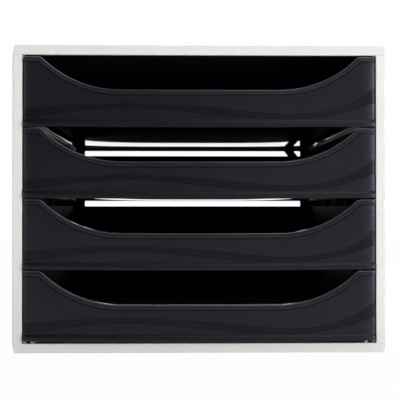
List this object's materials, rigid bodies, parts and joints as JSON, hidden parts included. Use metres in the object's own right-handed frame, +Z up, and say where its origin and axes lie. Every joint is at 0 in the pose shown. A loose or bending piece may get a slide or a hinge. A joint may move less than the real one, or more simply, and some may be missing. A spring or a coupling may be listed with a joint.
{
  "type": "letter tray stack with drawers",
  "caption": "Light grey desktop casing with stacked black document drawers, scooped fronts and an open back frame.",
  "frame": {"origin": "middle of the footprint, on the surface that the feet stand on", "axes": "+Z up, drawer fronts face -Y, +X to the right seen from the front"},
  "size_m": [0.284, 0.348, 0.235],
  "materials": {
    "casing_grey": "fine satin moulded polystyrene, light grey",
    "drawer_black": "fine matte moulded polystyrene with a glossier wave ribbon, bluish black",
    "lattice_black": "satin moulded polystyrene, black",
    "foot_rubber": "soft matte rubber"
  },
  "bodies": {
    "casing": {"top_panel": "casing_grey", "bottom_panel": "casing_grey", "left_side_panel": "casing_grey", "right_side_panel": "casing_grey", "back_lattice": "lattice_black", "foot_front_left": "foot_rubber", "foot_front_right": "foot_rubber", "foot_rear_left": "foot_rubber", "foot_rear_right": "foot_rubber"},
    "drawer_1": {"drawer_1": "drawer_black"},
    "drawer_2": {"drawer_2": "drawer_black"},
    "drawer_3": {"drawer_3": "drawer_black"},
    "drawer_4": {"drawer_4": "drawer_black"}
  },
  "joints": [
    {"name": "drawer_1_slide", "type": "slide", "parent": "casing", "child": "drawer_1", "axis": [0, -1, 0], "range_m": [0, 0.255]},
    {"name": "drawer_2_slide", "type": "slide", "parent": "casing", "child": "drawer_2", "axis": [0, -1, 0], "range_m": [0, 0.255]},
    {"name": "drawer_3_slide", "type": "slide", "parent": "casing", "child": "drawer_3", "axis": [0, -1, 0], "range_m": [0, 0.255]},
    {"name": "drawer_4_slide", "type": "slide", "parent": "casing", "child": "drawer_4", "axis": [0, -1, 0], "range_m": [0, 0.255]}
  ]
}
